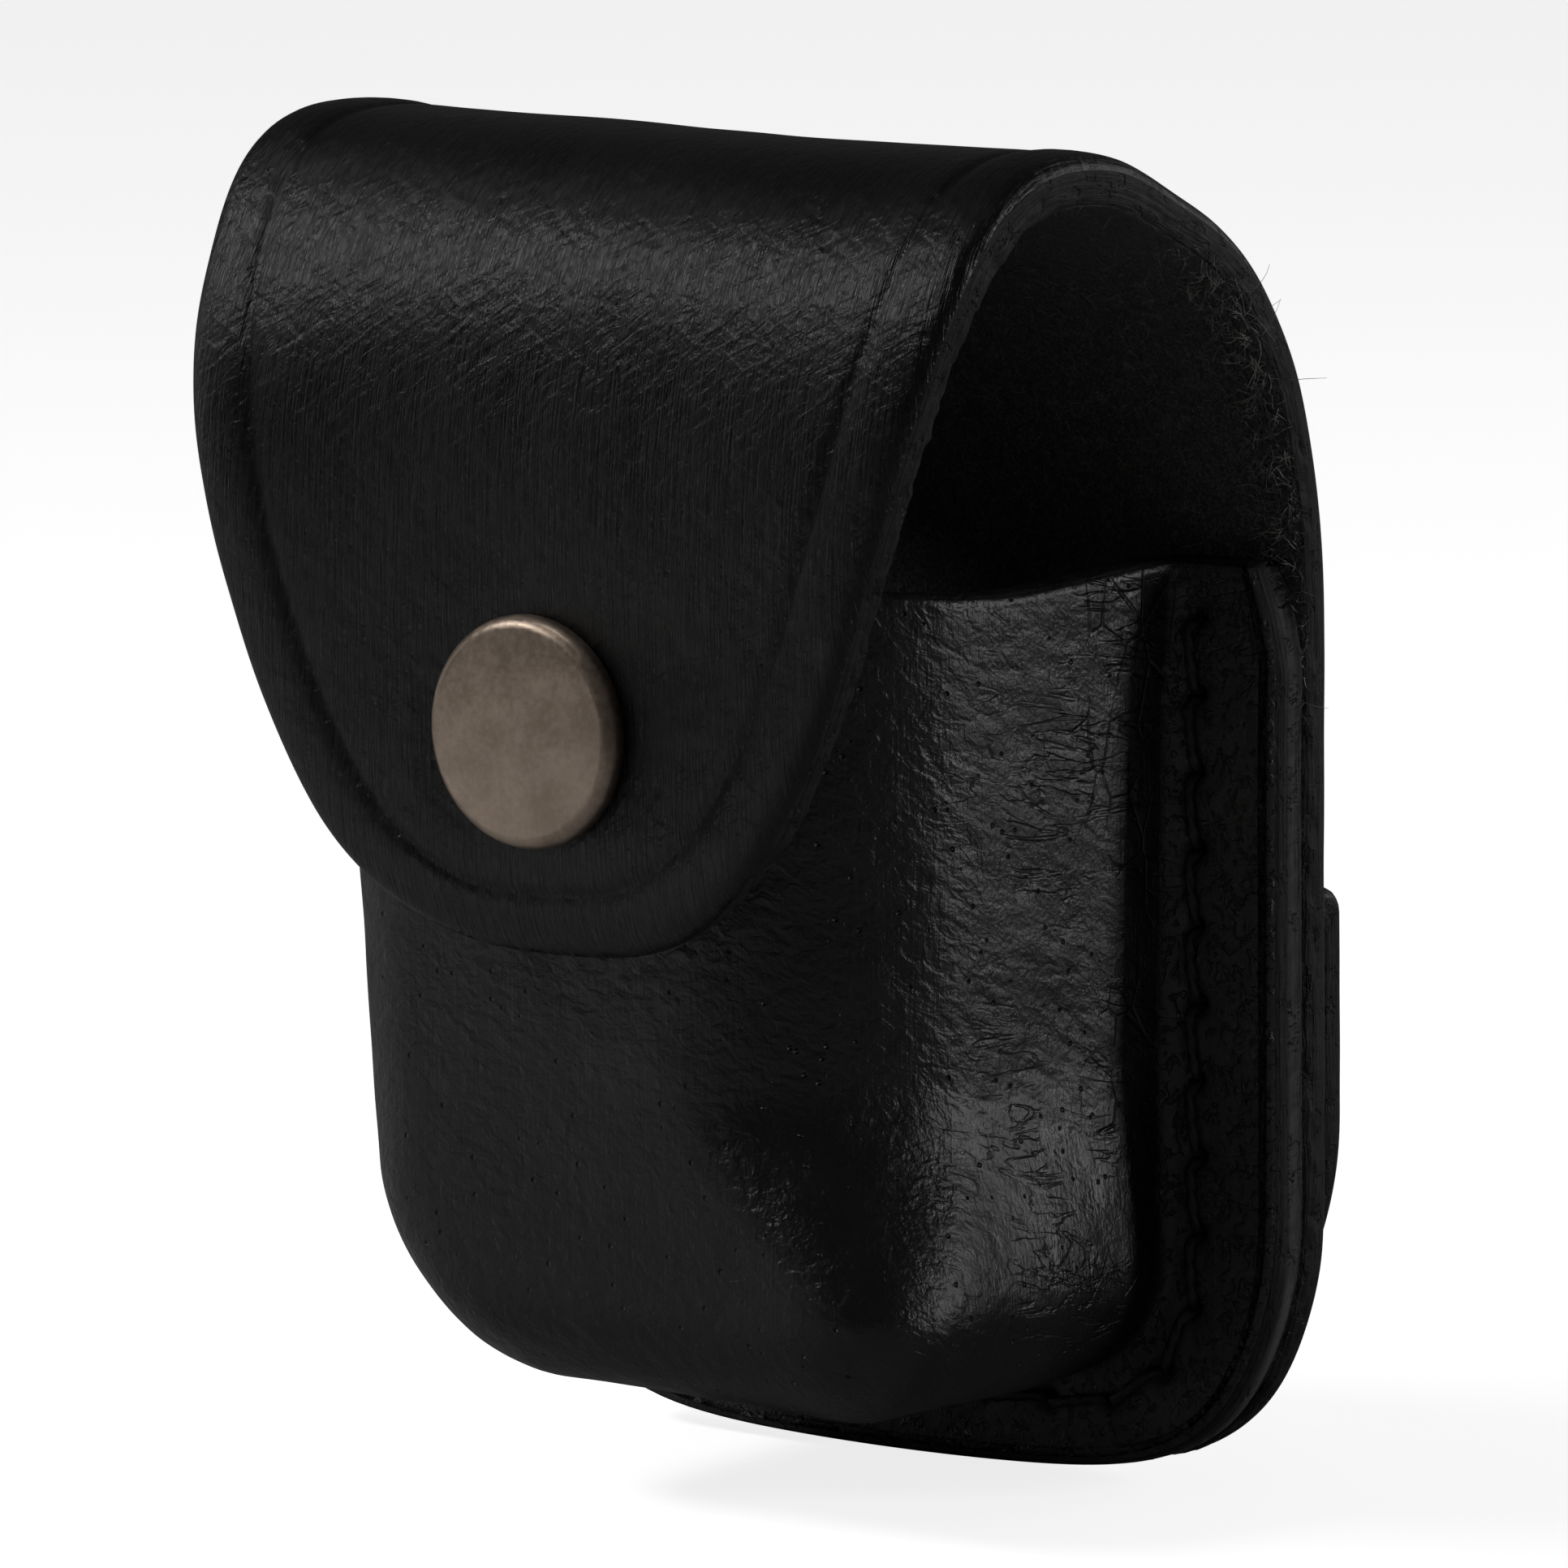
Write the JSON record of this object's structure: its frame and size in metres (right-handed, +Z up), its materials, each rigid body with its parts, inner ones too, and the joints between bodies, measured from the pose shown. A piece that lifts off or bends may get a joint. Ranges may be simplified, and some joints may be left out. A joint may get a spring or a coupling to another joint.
{
  "type": "leather belt pouch with snap flap",
  "caption": "Wet-moulded leather belt pouch: a folded back panel and snap flap over a moulded pocket, with a stitched belt loop behind.",
  "frame": {"origin": "on the back panel's rear face, at the middle of the belt channel", "axes": "+X across the pouch, -Y towards the flap's front, +Z up towards the arch"},
  "size_m": [0.061, 0.0536, 0.089],
  "materials": {
    "body_leather": "black dyed, waxed grain",
    "pocket_leather": "black dyed, pebbled moulded grain",
    "strap_leather": "black dyed",
    "thread": "waxed black thread",
    "cap_metal": "antique brass",
    "stud_metal": "antique brass",
    "spring_metal": "spring wire"
  },
  "bodies": {
    "pouch": {"back_panel": "body_leather", "front_pocket": "pocket_leather", "belt_loop": "strap_leather", "seam_front_thread": "thread", "seam_back_thread": "thread", "loop_outer_thread": "thread", "loop_inner_thread": "thread", "snap_stud": "stud_metal", "snap_stud_eyelet": "stud_metal"},
    "flap": {"flap": "body_leather", "snap_cap": "cap_metal", "snap_cap_post": "stud_metal", "snap_socket": "stud_metal", "snap_socket_spring": "spring_metal"}
  },
  "joints": [
    {"name": "flap_hinge", "type": "hinge", "parent": "pouch", "child": "flap", "pos_m": [0, -0.0266, 0.065], "axis": [-1, 0, 0], "range_deg": [0, 135], "stiffness_Nm_per_rad": 0.02}
  ]
}
